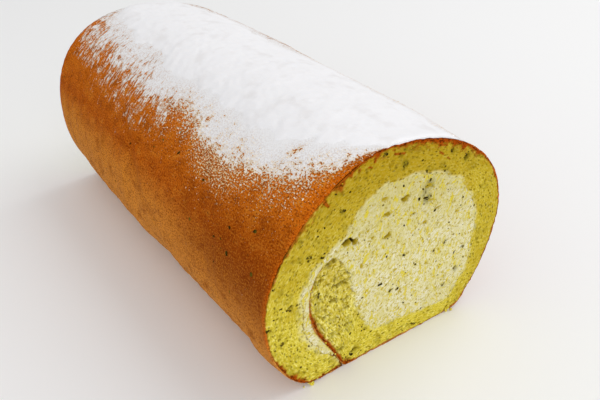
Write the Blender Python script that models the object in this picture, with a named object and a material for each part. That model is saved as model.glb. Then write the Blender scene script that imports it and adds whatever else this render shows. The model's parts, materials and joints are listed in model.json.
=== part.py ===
"""Swiss roll cake: one sheet of green tea sponge rolled round a thick core of whipped cream.

Metres, +Z up. The roll lies along X on its flattened underside, with the origin under its middle.
Both ends are cut square. Seen from the +X end, the sheet starts at the seam underneath, runs
clockwise over the left side, the top and the right side, comes back along the bottom, passes
the seam and ends in a short tongue that is tucked up inside.
"""

import math

import bpy

# The whole roll.
LENGTH = 0.160
HALF_WIDTH = 0.047

# The roll is round above and pressed flat below. Its round has one radius to each side.
MIDDLE_Y = -0.0065
MIDDLE_Z = 0.0355
HEIGHT = 0.0764
REACH_DOWN_LEFT = 0.0420
REACH_DOWN_RIGHT = 0.0580
FULLNESS_UP_RIGHT = 2.04  # 2 is an ellipse, more is squarer
FULLNESS_UP_LEFT = 1.66
FULLNESS_DOWN_LEFT = 2.30
FULLNESS_DOWN_RIGHT = 1.74
FOOT_ROUNDING = 0.004  # how far the round of the side blends into the flat underside

# Towards the -X end the roll settles: its crown is lower and its left shoulder squarer.
SETTLING_LENGTH = 0.060
SETTLING_EASE = 1.6
HEIGHT_SETTLED = 0.0722
HALF_WIDTH_LEFT_SETTLED = 0.0448
FULLNESS_UP_LEFT_SETTLED = 2.35

# Hand rolling leaves the log a little thicker and thinner along its length.
SWELL = 0.008

# The sheet is followed by its turn: degrees travelled clockwise from the seam.
SEAM_ANGLE = 248.0
TONGUE_START = 320.0
INNER_END = 461.0
TONGUE_ROUNDING = 24.0
TURN_STEP = 4.0
TONGUE_TIP_STEPS = 8

# Thickness of the sponge over its first turn, as (turn, metres): an outer end tapered to lie
# against the turn under it, a full left shoulder and a squeezed base.
THICKNESS = (
    (0, 0.0033),
    (4, 0.0058),
    (8, 0.0082),
    (14, 0.0108),
    (22, 0.0122),
    (40, 0.0133),
    (80, 0.0133),
    (95, 0.0146),
    (108, 0.0168),
    (122, 0.0178),
    (136, 0.0165),
    (152, 0.0138),
    (175, 0.0123),
    (228, 0.0118),
    (246, 0.0117),
    (262, 0.0098),
    (276, 0.0080),
    (290, 0.0088),
    (306, 0.0096),
    (461, 0.0096),
)
OUTER_END_CURL = 8.0
OUTER_END_LIFT = 0.0008  # the loose outer end curls up off the plate by this much

# Past the seam the sheet turns inwards as a tongue. Its two faces lie at these distances from
# the roll's middle at the +X end, as (turn, metres), and swell and settle with the roll.
TONGUE_SKIN = (
    (350, 0.0398),
    (357, 0.0361),
    (365, 0.0323),
    (377, 0.0292),
    (390, 0.0276),
    (405, 0.0263),
    (420, 0.0255),
    (442, 0.0242),
    (461, 0.0232),
)
TONGUE_INSIDE = (
    (326, 0.0285),
    (335, 0.0262),
    (342, 0.0229),
    (348, 0.0202),
    (354, 0.0178),
    (362, 0.0153),
    (371, 0.0134),
    (388, 0.0111),
    (405, 0.0100),
    (425, 0.0097),
    (446, 0.0110),
    (461, 0.0132),
)
SEAM_BEND = 0.0015  # how softly the skin leaves the underside
TONGUE_BEND = 0.0030  # how softly its inside leaves the base

# The cream starts as a thin layer between the two turns.
CREAM_START = 8.0
CREAM_CLEARANCE = 0.0003

STATIONS = 11


def smooth_through(stations, at):
    """The value of a smooth curve through (place, value) stations, held level past its ends."""
    if at <= stations[0][0]:
        return stations[0][1]
    if at >= stations[-1][0]:
        return stations[-1][1]
    right = next(i for i, (place, _) in enumerate(stations) if place > at)
    (x0, y0), (x1, y1) = stations[right - 1], stations[right]
    before = stations[max(right - 2, 0)]
    after = stations[min(right + 1, len(stations) - 1)]
    span = x1 - x0
    slope0 = (y1 - before[1]) / (x1 - before[0]) * span
    slope1 = (after[1] - y0) / (after[0] - x0) * span
    t = (at - x0) / span
    return (
        (2 * t**3 - 3 * t**2 + 1) * y0
        + (t**3 - 2 * t**2 + t) * slope0
        + (3 * t**2 - 2 * t**3) * y1
        + (t**3 - t**2) * slope1
    )


def smooth_min(a, b, rounding):
    """The smaller of two lengths, with the corner between them rounded off."""
    overlap = max(rounding - abs(a - b), 0.0) / rounding
    return min(a, b) - overlap**2 * rounding / 4


def swell_at(x):
    """The share by which the roll is thicker than its mean at this place along its length."""
    return SWELL * math.sin(2 * math.pi * (LENGTH / 2 - x) / LENGTH)


def settled_at(x):
    """How far the roll has settled at this place: 0 along most of it, 1 at its -X end."""
    into = (SETTLING_LENGTH - LENGTH / 2 - x) / SETTLING_LENGTH
    return max(into, 0.0) ** SETTLING_EASE


def roll_radius(angle, x):
    """Distance from the roll's middle to its outside, in a direction seen from the +X end."""
    across, up = math.cos(angle), math.sin(angle)
    settled = settled_at(x)
    if across >= 0:
        reach_y = HALF_WIDTH - MIDDLE_Y
        fullness = FULLNESS_UP_RIGHT if up >= 0 else FULLNESS_DOWN_RIGHT
        reach_down = REACH_DOWN_RIGHT
    else:
        half_width = HALF_WIDTH + settled * (HALF_WIDTH_LEFT_SETTLED - HALF_WIDTH)
        reach_y = half_width + MIDDLE_Y
        fullness_up = FULLNESS_UP_LEFT + settled * (FULLNESS_UP_LEFT_SETTLED - FULLNESS_UP_LEFT)
        fullness = fullness_up if up >= 0 else FULLNESS_DOWN_LEFT
        reach_down = REACH_DOWN_LEFT
    height = HEIGHT + settled * (HEIGHT_SETTLED - HEIGHT)
    reach_z = height - MIDDLE_Z if up >= 0 else reach_down
    share_y, share_z = abs(across / reach_y), abs(up / reach_z)
    round_radius = (share_y**fullness + share_z**fullness) ** (-1 / fullness)
    round_radius *= 1 + swell_at(x)
    if up >= 0:
        return round_radius
    return smooth_min(round_radius, MIDDLE_Z / -up, FOOT_ROUNDING)


def sheet_radii(turn, x):
    """How far the skin side and the cream side of the sheet lie from the roll's middle."""
    angle = math.radians(SEAM_ANGLE - turn)
    outside = roll_radius(angle, x)
    grown = outside / roll_radius(angle, LENGTH / 2)
    skin = smooth_min(outside, grown * smooth_through(TONGUE_SKIN, turn), SEAM_BEND)
    base = outside - smooth_through(THICKNESS, turn)
    inside = smooth_min(base, grown * smooth_through(TONGUE_INSIDE, turn), TONGUE_BEND)
    if turn < TONGUE_START:
        skin = outside
        inside = base
    if turn < OUTER_END_CURL:
        skin -= OUTER_END_LIFT * (1 - turn / OUTER_END_CURL) ** 2
    into_tip = (turn - (INNER_END - TONGUE_ROUNDING)) / TONGUE_ROUNDING
    if into_tip > 0:
        middle = (skin + inside) / 2
        half = (skin - inside) / 2 * math.sqrt(max(1 - into_tip**2, 0.0))
        return middle + half, middle - half
    return skin, inside


def point_at(turn, radius, x):
    """A point of the cross-section, as (x, y, z)."""
    angle = math.radians(SEAM_ANGLE - turn)
    return (x, MIDDLE_Y + radius * math.cos(angle), MIDDLE_Z + radius * math.sin(angle))


def turns_from(start):
    """Turns from start to the tongue's tip, a step apart and closer together round the tip."""
    straight_end = INNER_END - TONGUE_ROUNDING
    steps = math.ceil((straight_end - start) / TURN_STEP)
    turns = [start + (straight_end - start) * i / steps for i in range(steps)]
    for i in range(TONGUE_TIP_STEPS + 1):
        turns.append(straight_end + TONGUE_ROUNDING * math.sin(math.pi / 2 * i / TONGUE_TIP_STEPS))
    return turns


def sponge_section(x):
    """The outline of the rolled sheet: along its skin to the tongue's tip, and back inside."""
    turns = turns_from(0.0)
    skin_side = [point_at(turn, sheet_radii(turn, x)[0], x) for turn in turns]
    cream_side = [point_at(turn, sheet_radii(turn, x)[1], x) for turn in turns]
    return skin_side + cream_side[-2::-1]


def cream_section(x):
    """The outline of the cream: all the room that the rolled sheet leaves inside itself."""
    round_the_sheet = [
        point_at(turn, sheet_radii(turn, x)[1] - CREAM_CLEARANCE, x)
        for turn in turns_from(CREAM_START)[:-1]
    ]
    tip_radius = sheet_radii(INNER_END, x)[0]
    past_the_tip = INNER_END + math.degrees(CREAM_CLEARANCE / tip_radius)
    over_the_tongue = [
        point_at(turn, sheet_radii(turn, x)[0] + CREAM_CLEARANCE, x)
        for turn in turns_from(CREAM_START + 360)[:-1]
    ]
    return round_the_sheet + [point_at(past_the_tip, tip_radius, x)] + over_the_tongue[::-1]


def log_mesh(name, section):
    """A closed log: the section at each station along X, joined ring to ring and capped."""
    places = [LENGTH * (i / (STATIONS - 1) - 0.5) for i in range(STATIONS)]
    rings = [section(x) for x in places]
    count = len(rings[0])
    points = [point for ring in rings for point in ring]
    faces = [list(range(count))]
    for station in range(STATIONS - 1):
        here, there = station * count, (station + 1) * count
        for i in range(count):
            following = (i + 1) % count
            faces.append([here + following, here + i, there + i, there + following])
    faces.append([(STATIONS - 1) * count + i for i in reversed(range(count))])
    mesh = bpy.data.meshes.new(name)
    mesh.from_pydata(points, [], faces)
    mesh.validate()
    return mesh


def finish_of(name, colour, roughness):
    """A plain opaque material of one colour."""
    material = bpy.data.materials.new(name)
    material.use_nodes = True
    shader = material.node_tree.nodes["Principled BSDF"]
    shader.inputs["Base Color"].default_value = (*colour, 1.0)
    shader.inputs["Roughness"].default_value = roughness
    shader.inputs["Metallic"].default_value = 0.0
    return material


def add_log(name, section, material):
    """One named piece of the roll, smooth round its outline and sharp at the cut ends."""
    mesh = log_mesh(name, section)
    mesh.materials.append(material)
    mesh.shade_smooth()
    mesh.set_sharp_from_angle(angle=math.radians(40))
    piece = bpy.data.objects.new(name, mesh)
    bpy.context.scene.collection.objects.link(piece)


def main():
    for old in list(bpy.data.objects):
        bpy.data.objects.remove(old, do_unlink=True)
    sponge_finish = finish_of("sponge_crumb", (0.53, 0.44, 0.05), 0.85)
    cream_finish = finish_of("whipped_cream", (0.64, 0.56, 0.21), 0.55)
    add_log("sponge_sheet", sponge_section, sponge_finish)
    add_log("cream_filling", cream_section, cream_finish)


main()
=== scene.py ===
import json
import math

import bpy
import numpy as np
from mathutils import Matrix, Vector
from mathutils.geometry import delaunay_2d_cdt

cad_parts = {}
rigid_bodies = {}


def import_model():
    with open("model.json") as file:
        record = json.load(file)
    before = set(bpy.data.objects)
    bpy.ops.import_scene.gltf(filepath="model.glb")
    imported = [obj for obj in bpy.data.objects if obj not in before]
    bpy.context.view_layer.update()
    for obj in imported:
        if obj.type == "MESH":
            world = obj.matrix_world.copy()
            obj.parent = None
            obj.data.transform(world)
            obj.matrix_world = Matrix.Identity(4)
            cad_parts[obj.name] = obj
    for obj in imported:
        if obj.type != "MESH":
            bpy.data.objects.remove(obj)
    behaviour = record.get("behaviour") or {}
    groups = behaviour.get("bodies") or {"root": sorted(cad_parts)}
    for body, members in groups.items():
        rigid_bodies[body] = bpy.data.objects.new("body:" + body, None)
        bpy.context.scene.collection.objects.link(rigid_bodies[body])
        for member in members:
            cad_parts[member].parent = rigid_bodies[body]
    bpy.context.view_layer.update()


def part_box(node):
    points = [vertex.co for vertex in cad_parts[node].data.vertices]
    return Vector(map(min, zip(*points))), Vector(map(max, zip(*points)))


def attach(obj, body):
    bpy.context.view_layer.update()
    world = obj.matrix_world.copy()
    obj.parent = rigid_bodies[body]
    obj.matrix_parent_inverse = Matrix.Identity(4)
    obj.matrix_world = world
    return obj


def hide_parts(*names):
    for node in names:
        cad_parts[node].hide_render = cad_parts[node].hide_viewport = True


# A green tea swiss roll, dressed for its close-up. Shapes are worked out in millimetres and turned
# to metres when a mesh is made. The roll lies along X; the cut end that shows best faces +X.

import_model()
spongeLow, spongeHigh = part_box("sponge_sheet")
mm = 0.001
rollEnd = (spongeHigh[0] - spongeLow[0]) / 2 / mm  # from the middle to a cut end


# The roll's own shape, the same as its solids.
rollShape = {
    "halfWidth": 47.0,
    "middleY": -6.5,
    "middleZ": 35.5,
    "height": 76.4,
    "reachDownLeft": 42.0,
    "reachDownRight": 58.0,
    "fullnessUpRight": 2.04,
    "fullnessUpLeft": 1.66,
    "fullnessDownLeft": 2.30,
    "fullnessDownRight": 1.74,
    "footRounding": 4.0,
    "settlingLength": 60.0,
    "settlingEase": 1.6,
    "heightSettled": 72.2,
    "halfWidthLeftSettled": 44.8,
    "fullnessUpLeftSettled": 2.35,
    "swell": 0.008,
    "seamAngle": 248.0,
    "tongueStart": 320.0,
    "innerEnd": 461.0,
    "tongueRounding": 24.0,
    "outerEndCurl": 8.0,
    "outerEndLift": 1.2,
    "seamBend": 1.5,
    "tongueBend": 3.0,
    "creamStart": 8.0,
    # thickness of the first turn, as (turn in degrees, mm)
    "thickness": (
        (0, 3.3), (4, 5.8), (8, 8.2), (14, 10.8), (22, 12.2), (40, 13.3), (80, 13.3), (95, 14.6),
        (108, 16.8), (122, 17.8), (136, 16.5), (152, 13.8), (175, 12.3), (228, 11.8), (246, 11.7),
        (262, 9.8), (276, 8.0), (290, 8.8), (306, 9.6), (461, 9.6),
    ),
    # the tongue's two faces, as (turn, mm from the roll's middle)
    "tongueSkin": (
        (350, 39.8), (357, 36.1), (365, 32.3), (377, 29.2), (390, 27.6), (405, 26.3), (420, 25.5),
        (442, 24.2), (461, 23.2),
    ),
    "tongueInside": (
        (326, 28.5), (335, 26.2), (342, 22.9), (348, 20.2), (354, 17.8), (362, 15.3), (371, 13.4),
        (388, 11.1), (405, 10.0), (425, 9.7), (446, 11.0), (461, 13.2),
    ),
}


def smoothThrough(stations, at):
    place, value = np.array(stations, float).T
    at = np.clip(np.asarray(at, float), place[0], place[-1])
    right = np.clip(np.searchsorted(place, at, side="right"), 1, len(place) - 1)
    before, after = np.maximum(right - 2, 0), np.minimum(right + 1, len(place) - 1)
    x0, x1, y0, y1 = place[right - 1], place[right], value[right - 1], value[right]
    span = x1 - x0
    slope0 = (y1 - value[before]) / (x1 - place[before]) * span
    slope1 = (value[after] - y0) / (place[after] - x0) * span
    t = (at - x0) / span
    ends = (2 * t**3 - 3 * t**2 + 1) * y0 + (3 * t**2 - 2 * t**3) * y1
    return ends + (t**3 - 2 * t**2 + t) * slope0 + (t**3 - t**2) * slope1


def smoothMin(a, b, rounding):
    overlap = np.maximum(rounding - np.abs(a - b), 0.0) / rounding
    return np.minimum(a, b) - overlap**2 * rounding / 4


def smoothStep(low, high, value):
    t = np.clip((np.asarray(value, float) - low) / (high - low), 0.0, 1.0)
    return t * t * (3 - 2 * t)


def rollRadius(angle, x):
    s = rollShape
    across, up = np.cos(angle), np.sin(angle)
    into = (s["settlingLength"] - rollEnd - x) / s["settlingLength"]
    settled = np.maximum(into, 0.0) ** s["settlingEase"]
    height = s["height"] + settled * (s["heightSettled"] - s["height"])
    halfWidthLeft = s["halfWidth"] + settled * (s["halfWidthLeftSettled"] - s["halfWidth"])
    fullLeft = s["fullnessUpLeft"] + settled * (s["fullnessUpLeftSettled"] - s["fullnessUpLeft"])
    toRight, above = across >= 0, up >= 0
    reachY = np.where(toRight, s["halfWidth"] - s["middleY"], halfWidthLeft + s["middleY"])
    reachDown = np.where(toRight, s["reachDownRight"], s["reachDownLeft"])
    reachZ = np.where(above, height - s["middleZ"], reachDown)
    fullnessRight = np.where(above, s["fullnessUpRight"], s["fullnessDownRight"])
    fullnessLeft = np.where(above, fullLeft, s["fullnessDownLeft"])
    fullness = np.where(toRight, fullnessRight, fullnessLeft)
    roundness = np.abs(across / reachY) ** fullness + np.abs(up / reachZ) ** fullness
    radius = roundness ** (-1 / fullness)
    radius = radius * (1 + s["swell"] * np.sin(math.pi * (rollEnd - x) / rollEnd))
    toPlate = s["middleZ"] / np.maximum(-up, 0.01)
    return np.where(above, radius, smoothMin(radius, toPlate, s["footRounding"]))


def sheetRadii(turn, x):
    s = rollShape
    turn, x = np.broadcast_arrays(np.asarray(turn, float), np.asarray(x, float))
    angle = np.radians(s["seamAngle"] - turn)
    outside = rollRadius(angle, x)
    grown = outside / rollRadius(angle, np.full_like(x, rollEnd))
    base = outside - smoothThrough(s["thickness"], turn)
    tongueSkin = grown * smoothThrough(s["tongueSkin"], turn)
    tongueInside = grown * smoothThrough(s["tongueInside"], turn)
    inTongue = turn >= s["tongueStart"]
    skin = np.where(inTongue, smoothMin(outside, tongueSkin, s["seamBend"]), outside)
    inside = np.where(inTongue, smoothMin(base, tongueInside, s["tongueBend"]), base)
    curl = np.maximum(1 - turn / s["outerEndCurl"], 0.0)
    skin = skin - s["outerEndLift"] * curl**2
    # the rolled-up faces of sponge and cream are never quite even
    inside = inside + 0.35 * wander(turn, 6.0, 11) + 0.15 * wander(turn, 2.0, 12)
    # the outer end was pressed on to the lap under it
    lapSkin = smoothMin(outside, grown * smoothThrough(s["tongueSkin"], turn + 360), s["seamBend"])
    pressed = smoothStep(s["creamStart"], 0.4 * s["creamStart"], turn)
    inside = inside + pressed * (lapSkin + 0.03 - inside)
    intoTip = np.clip((turn - s["innerEnd"] + s["tongueRounding"]) / s["tongueRounding"], 0.0, 1.0)
    middle = (skin + inside) / 2
    half = (skin - inside) / 2 * np.sqrt(1 - intoTip**2)
    return middle + half, middle - half


def endReach(turn):
    # the outer end was cut on a slant, so its skin runs on a little under the lap it lies on
    return turn - 3.5 * np.maximum(1 - turn / 6.0, 0.0) ** 2


def crossPoint(turn, radius):
    angle = np.radians(rollShape["seamAngle"] - np.asarray(turn, float))
    y = rollShape["middleY"] + radius * np.cos(angle)
    return y, rollShape["middleZ"] + radius * np.sin(angle)


def cornerChance(cells, seed):
    h = cells[:, 0] * 73856093 ^ cells[:, 1] * 19349663 ^ cells[:, 2] * 83492791 ^ seed * 265443576
    h = (h & 0xFFFFFFFF) * 1103515245 + 12345
    h = ((h >> 15) ^ h) & 0xFFFFFFFF
    h = h * 747796405 + 2891336453
    h = ((h >> 13) ^ h) & 0xFFFFFF
    return h / 0xFFFFFF


def unevenness(points, size, seed, octaves=1):
    # soft random hills, about -1 to 1, each about size across; size may differ along each axis
    total, strength, whole = 0.0, 1.0, 0.0
    for octave in range(octaves):
        p = np.asarray(points, float) / np.asarray(size, float) * 2**octave
        base = np.floor(p).astype(np.int64)
        f = p - base
        f = f * f * f * (f * (f * 6 - 15) + 10)
        layer = np.zeros(len(p))
        for corner in range(8):
            step = np.array([corner & 1, corner >> 1 & 1, corner >> 2 & 1])
            weight = np.prod(np.where(step == 1, f, 1 - f), axis=1)
            layer += weight * (cornerChance(base + step, seed + 101 * octave) * 2 - 1)
        total = total + layer * strength
        whole += strength
        strength *= 0.5
    return total / whole * 1.6


def wander(values, size, seed):
    values = np.asarray(values, float)
    flat = values.ravel()
    points = np.column_stack([flat, np.zeros_like(flat), np.zeros_like(flat)])
    return unevenness(points, size, seed).reshape(values.shape)


def hollows(y, z, cell, share, reachRange, seed, roundness=1.0):
    # bubbles cut open: one may sit in each cell; returns how deep each point lies, in mm
    deepest = np.zeros(len(y))
    base = np.column_stack([np.floor(y / cell), np.floor(z / cell), np.zeros(len(y))]).astype(np.int64)
    for dy in (-1, 0, 1):
        for dz in (-1, 0, 1):
            near = base + np.array([dy, dz, 0])
            here = cornerChance(near, seed) < share
            cy = (near[:, 0] + 0.2 + 0.6 * cornerChance(near, seed + 1)) * cell
            cz = (near[:, 1] + 0.2 + 0.6 * cornerChance(near, seed + 2)) * cell
            reach = reachRange[0] + (reachRange[1] - reachRange[0]) * cornerChance(near, seed + 3) ** 3
            lean = cornerChance(near, seed + 4) * math.pi
            long = 1 + (1 - roundness) * 1.5 * cornerChance(near, seed + 5)
            u = (y - cy) * np.cos(lean) + (z - cz) * np.sin(lean)
            v = (z - cz) * np.cos(lean) - (y - cy) * np.sin(lean)
            inside = 1 - (u / reach / long) ** 2 - (v / reach) ** 2
            deep = np.where(here, np.sqrt(np.maximum(inside, 0.0)) * reach, 0.0)
            deepest = np.maximum(deepest, deep)
    return deepest


def makeMesh(name, points, faces, material, smooth=True, marks=None):
    mesh = bpy.data.meshes.new(name)
    mesh.from_pydata((np.asarray(points, float) * mm).tolist(), [], faces)
    mesh.polygons.foreach_set("use_smooth", np.full(len(mesh.polygons), smooth))
    for markName, values in (marks or {}).items():
        values = np.asarray(values, float)
        kind = "FLOAT_VECTOR" if values.ndim == 2 else "FLOAT"
        layer = mesh.attributes.new(markName, kind, "POINT")
        layer.data.foreach_set("vector" if values.ndim == 2 else "value", values.ravel())
    mesh.materials.append(material)
    piece = bpy.data.objects.new(name, mesh)
    bpy.context.scene.collection.objects.link(piece)
    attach(piece, "root")
    return piece


def toLinear(hexColour):
    channels = [int(hexColour[i:i + 2], 16) / 255 for i in (1, 3, 5)]
    linear = [c / 12.92 if c <= 0.04045 else ((c + 0.055) / 1.055) ** 2.4 for c in channels]
    return (*linear, 1.0)


def addNode(tree, kind, settings=None, inputs=None, stops=None, out=0):
    # one node with its settings, values, links and colour stops; returns one of its outputs
    node = tree.nodes.new(kind)
    for key, value in (settings or {}).items():
        setattr(node, key, value)
    for key, value in (inputs or {}).items():
        if isinstance(value, bpy.types.NodeSocket):
            tree.links.new(value, node.inputs[key])
        else:
            node.inputs[key].default_value = toLinear(value) if isinstance(value, str) else value
    for i, (place, colour) in enumerate(stops or ()):
        ramp = node.color_ramp.elements
        element = ramp[i] if i < len(ramp) else ramp.new(place)
        element.position = place
        element.color = toLinear(colour)
    return node.outputs[out]


def newMaterial(name):
    material = bpy.data.materials.new(name)
    material.use_nodes = True
    tree = material.node_tree
    return material, tree, tree.nodes["Principled BSDF"]


def perMm(size):
    return 1 / (size * mm)  # a texture scale that makes one feature about this many mm across


mixing = {"data_type": "RGBA"}
easing = {"interpolation_type": "SMOOTHSTEP"}
times = {"operation": "MULTIPLY"}
flat = {"voronoi_dimensions": "2D"}


# Sponge: whisked egg, flour and tea baked in a thin sheet and cut with a knife. The crumb is matt
# and full of fine bubbles, so the eye sees soft mottling, small dark pores and ground tea.
crumbLook = {
    "tones": ((0.37, "#b09d20"), (0.45, "#d3c03a"), (0.54, "#e3d350"), (0.64, "#f4eb90")),
    "openTones": ((0.36, "#8e790c"), (0.43, "#cfbb34"), (0.50, "#e8da5e"), (0.60, "#f8f0a4")),
    "deep": "#bda41e",
    # painted shade: the cut face is coloured darker towards its top, and the same colour is laid towards its right
    # side
    "paintedShadeTint": "#a78206",
    "paintedShadeShare": 0.8,
    "rightShare": 0.42,
    # painted shade: the pores are coloured dark for the shade inside them
    "pore": "#84710e",
    # painted shade: the colour laid in the cut bubbles and torn places, darker where they are deeper
    "hollowShade": "#7a670d",
    "tea": "#574a0c",
    "stain": "#736914",
    "smear": "#e2daa0",
    "crust": "#a64a0a",
    "crustDark": "#561f04",
    "grainSize": 0.7,
    "poreSize": 0.85,  # real pores are finer, drawn this coarse so that they show
    "stretch": 1.6,  # rolling drew the bubbles out along the sheet
    "roughness": 0.92,
}


def makeSpongeCrumb():
    look = crumbLook
    material, tree, shader = newMaterial("whiskedSpongeCrumb")
    where = addNode(tree, "ShaderNodeTexCoord", out="Object")
    height = addNode(tree, "ShaderNodeSeparateXYZ", None, {0: where}, out="Z")
    sideways = addNode(tree, "ShaderNodeSeparateXYZ", None, {0: where}, out="Y")
    along = addNode(tree, "ShaderNodeAttribute", {"attribute_name": "along"}, out="Fac")  # in mm
    across = addNode(tree, "ShaderNodeAttribute", {"attribute_name": "across"}, out="Fac")
    drawnOut = addNode(tree, "ShaderNodeMath", times, {0: along, 1: 1 / look["stretch"]})
    laid = addNode(tree, "ShaderNodeCombineXYZ", None, {0: drawnOut, 1: across})
    grain = addNode(tree, "ShaderNodeTexNoise", None,
                    {"Vector": laid, "Scale": 1 / look["grainSize"], "Detail": 5.0, "Roughness": 0.75})
    mottle = addNode(tree, "ShaderNodeTexNoise", None,
                     {"Vector": where, "Scale": perMm(4.5), "Detail": 3.0, "Roughness": 0.6})
    pores = {"Vector": laid, "Scale": 1 / look["poreSize"], "Randomness": 1.0}
    poreDistance = addNode(tree, "ShaderNodeTexVoronoi", flat, pores)
    poreChance = addNode(tree, "ShaderNodeTexVoronoi", flat, pores, out="Color")
    poreSome = addNode(tree, "ShaderNodeSeparateColor", None, {0: poreChance})
    poreRound = addNode(tree, "ShaderNodeMapRange", easing, {0: poreDistance, 1: 0.42, 2: 0.14})
    poreKeep = addNode(tree, "ShaderNodeMapRange", easing, {0: poreSome, 1: 0.62, 2: 1.0, 4: 0.85})
    pore = addNode(tree, "ShaderNodeMath", times, {0: poreRound, 1: poreKeep})
    teaBit = {"Vector": laid, "Scale": 1 / 3.4, "Randomness": 1.0}
    teaDistance = addNode(tree, "ShaderNodeTexVoronoi", flat, teaBit)
    teaRound = addNode(tree, "ShaderNodeMapRange", easing, {0: teaDistance, 1: 0.13, 2: 0.05, 4: 0.5})
    closed = addNode(tree, "ShaderNodeValToRGB", None, {0: grain}, look["tones"])
    opened = addNode(tree, "ShaderNodeValToRGB", None, {0: grain}, look["openTones"])
    openCrumb = addNode(tree, "ShaderNodeAttribute", {"attribute_name": "open"}, out="Fac")
    base = addNode(tree, "ShaderNodeMix", mixing, {0: openCrumb, 6: closed, 7: opened}, out=2)
    patch = addNode(tree, "ShaderNodeMapRange", None, {0: mottle, 1: 0.46, 2: 0.70, 4: 0.55})
    base = addNode(tree, "ShaderNodeMix", mixing, {0: patch, 6: base, 7: look["deep"]}, out=2)
    # painted shade darkens the crumb towards the top of the face; the same colour also darkens it towards the right
    # side
    upper = addNode(tree, "ShaderNodeMapRange", easing,
                    {0: height, 1: 14 * mm, 2: 84 * mm, 4: look["paintedShadeShare"]})
    rightward = addNode(tree, "ShaderNodeMapRange", easing,
                        {0: sideways, 1: 20 * mm, 2: 46 * mm, 4: look["rightShare"]})
    darkerHighAndRight = addNode(tree, "ShaderNodeMath", {"operation": "MAXIMUM"}, {0: upper, 1: rightward})
    base = addNode(tree, "ShaderNodeMix", mixing, {0: darkerHighAndRight, 6: base, 7: look["paintedShadeTint"]}, out=2)
    smear = addNode(tree, "ShaderNodeAttribute", {"attribute_name": "smear"}, out="Fac")
    base = addNode(tree, "ShaderNodeMix", mixing, {0: smear, 6: base, 7: look["smear"]}, out=2)
    stain = addNode(tree, "ShaderNodeAttribute", {"attribute_name": "stain"}, out="Fac")
    base = addNode(tree, "ShaderNodeMix", mixing, {0: stain, 6: base, 7: look["stain"]}, out=2)
    # painted shade in the pores
    base = addNode(tree, "ShaderNodeMix", mixing, {0: pore, 6: base, 7: look["pore"]}, out=2)
    # painted shade in the cut bubbles and torn places of the crumb
    hollowShade = addNode(tree, "ShaderNodeAttribute", {"attribute_name": "hollowShade"}, out="Fac")
    base = addNode(tree, "ShaderNodeMix", mixing, {0: hollowShade, 6: base, 7: look["hollowShade"]}, out=2)
    base = addNode(tree, "ShaderNodeMix", mixing, {0: teaRound, 6: base, 7: look["tea"]}, out=2)
    char = addNode(tree, "ShaderNodeMapRange", easing, {0: grain, 1: 0.42, 2: 0.53})
    crust = addNode(tree, "ShaderNodeMix", mixing, {0: char, 6: look["crustDark"], 7: look["crust"]}, out=2)
    browned = addNode(tree, "ShaderNodeAttribute", {"attribute_name": "crust"}, out="Fac")
    base = addNode(tree, "ShaderNodeMix", mixing, {0: browned, 6: base, 7: crust}, out=2)
    tree.links.new(base, shader.inputs["Base Color"])
    shader.inputs["Roughness"].default_value = look["roughness"]
    shader.inputs["Specular IOR Level"].default_value = 0.01
    shader.inputs["Subsurface Weight"].default_value = 0.08
    shader.inputs["Subsurface Radius"].default_value = (1.0, 0.8, 0.3)
    shader.inputs["Subsurface Scale"].default_value = 0.8 * mm
    dip = addNode(tree, "ShaderNodeBump", {"invert": True},
                  {"Strength": 0.7, "Distance": 0.35 * mm, "Height": pore})
    rough = addNode(tree, "ShaderNodeBump", None,
                    {"Strength": 1.0, "Distance": 0.24 * mm, "Height": grain, "Normal": dip})
    tree.links.new(rough, shader.inputs["Normal"])
    return material


# Whipped cream, roughly cut: the knife drags it into short strokes and leaves bits of yellow
# sponge in them. It is a little glossier than the crumb, and light goes some way in.
creamLook = {
    "tones": ((0.35, "#bcaa3c"), (0.43, "#d2c77c"), (0.50, "#ddd5a4"), (0.59, "#e9e4cb")),
    "warm": "#d6ca74",
    # painted shade: the cream is coloured darker towards the top of the face
    "paintedShadeTint": "#c2b56c",
    "paintedShadeShare": 0.75,
    "bits": "#d8c530",
    "pit": "#a8921c",
    "edge": "#dccb3c",
    # painted highlight: a pale line along the raised upper left edge of the cream, where it catches the light
    "ridgeHighlight": "#f2edd0",
    # partly the cream's own yellow at the rim, darkening to painted shade at the bottom of each hole
    "holeShade": ((0.0, "#c9b43a"), (0.5, "#b0971c"), (1.0, "#352808")),  # from its rim to its bottom
    "stain": "#6c6632",
    "char": "#5c3a10",
    "tea": "#5a4a14",
    "strokeSize": (0.6, 1.7),  # across and along the stroke, in mm
    "strokeLeans": (32.0, 78.0),
    "roughness": 0.65,
}


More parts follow.
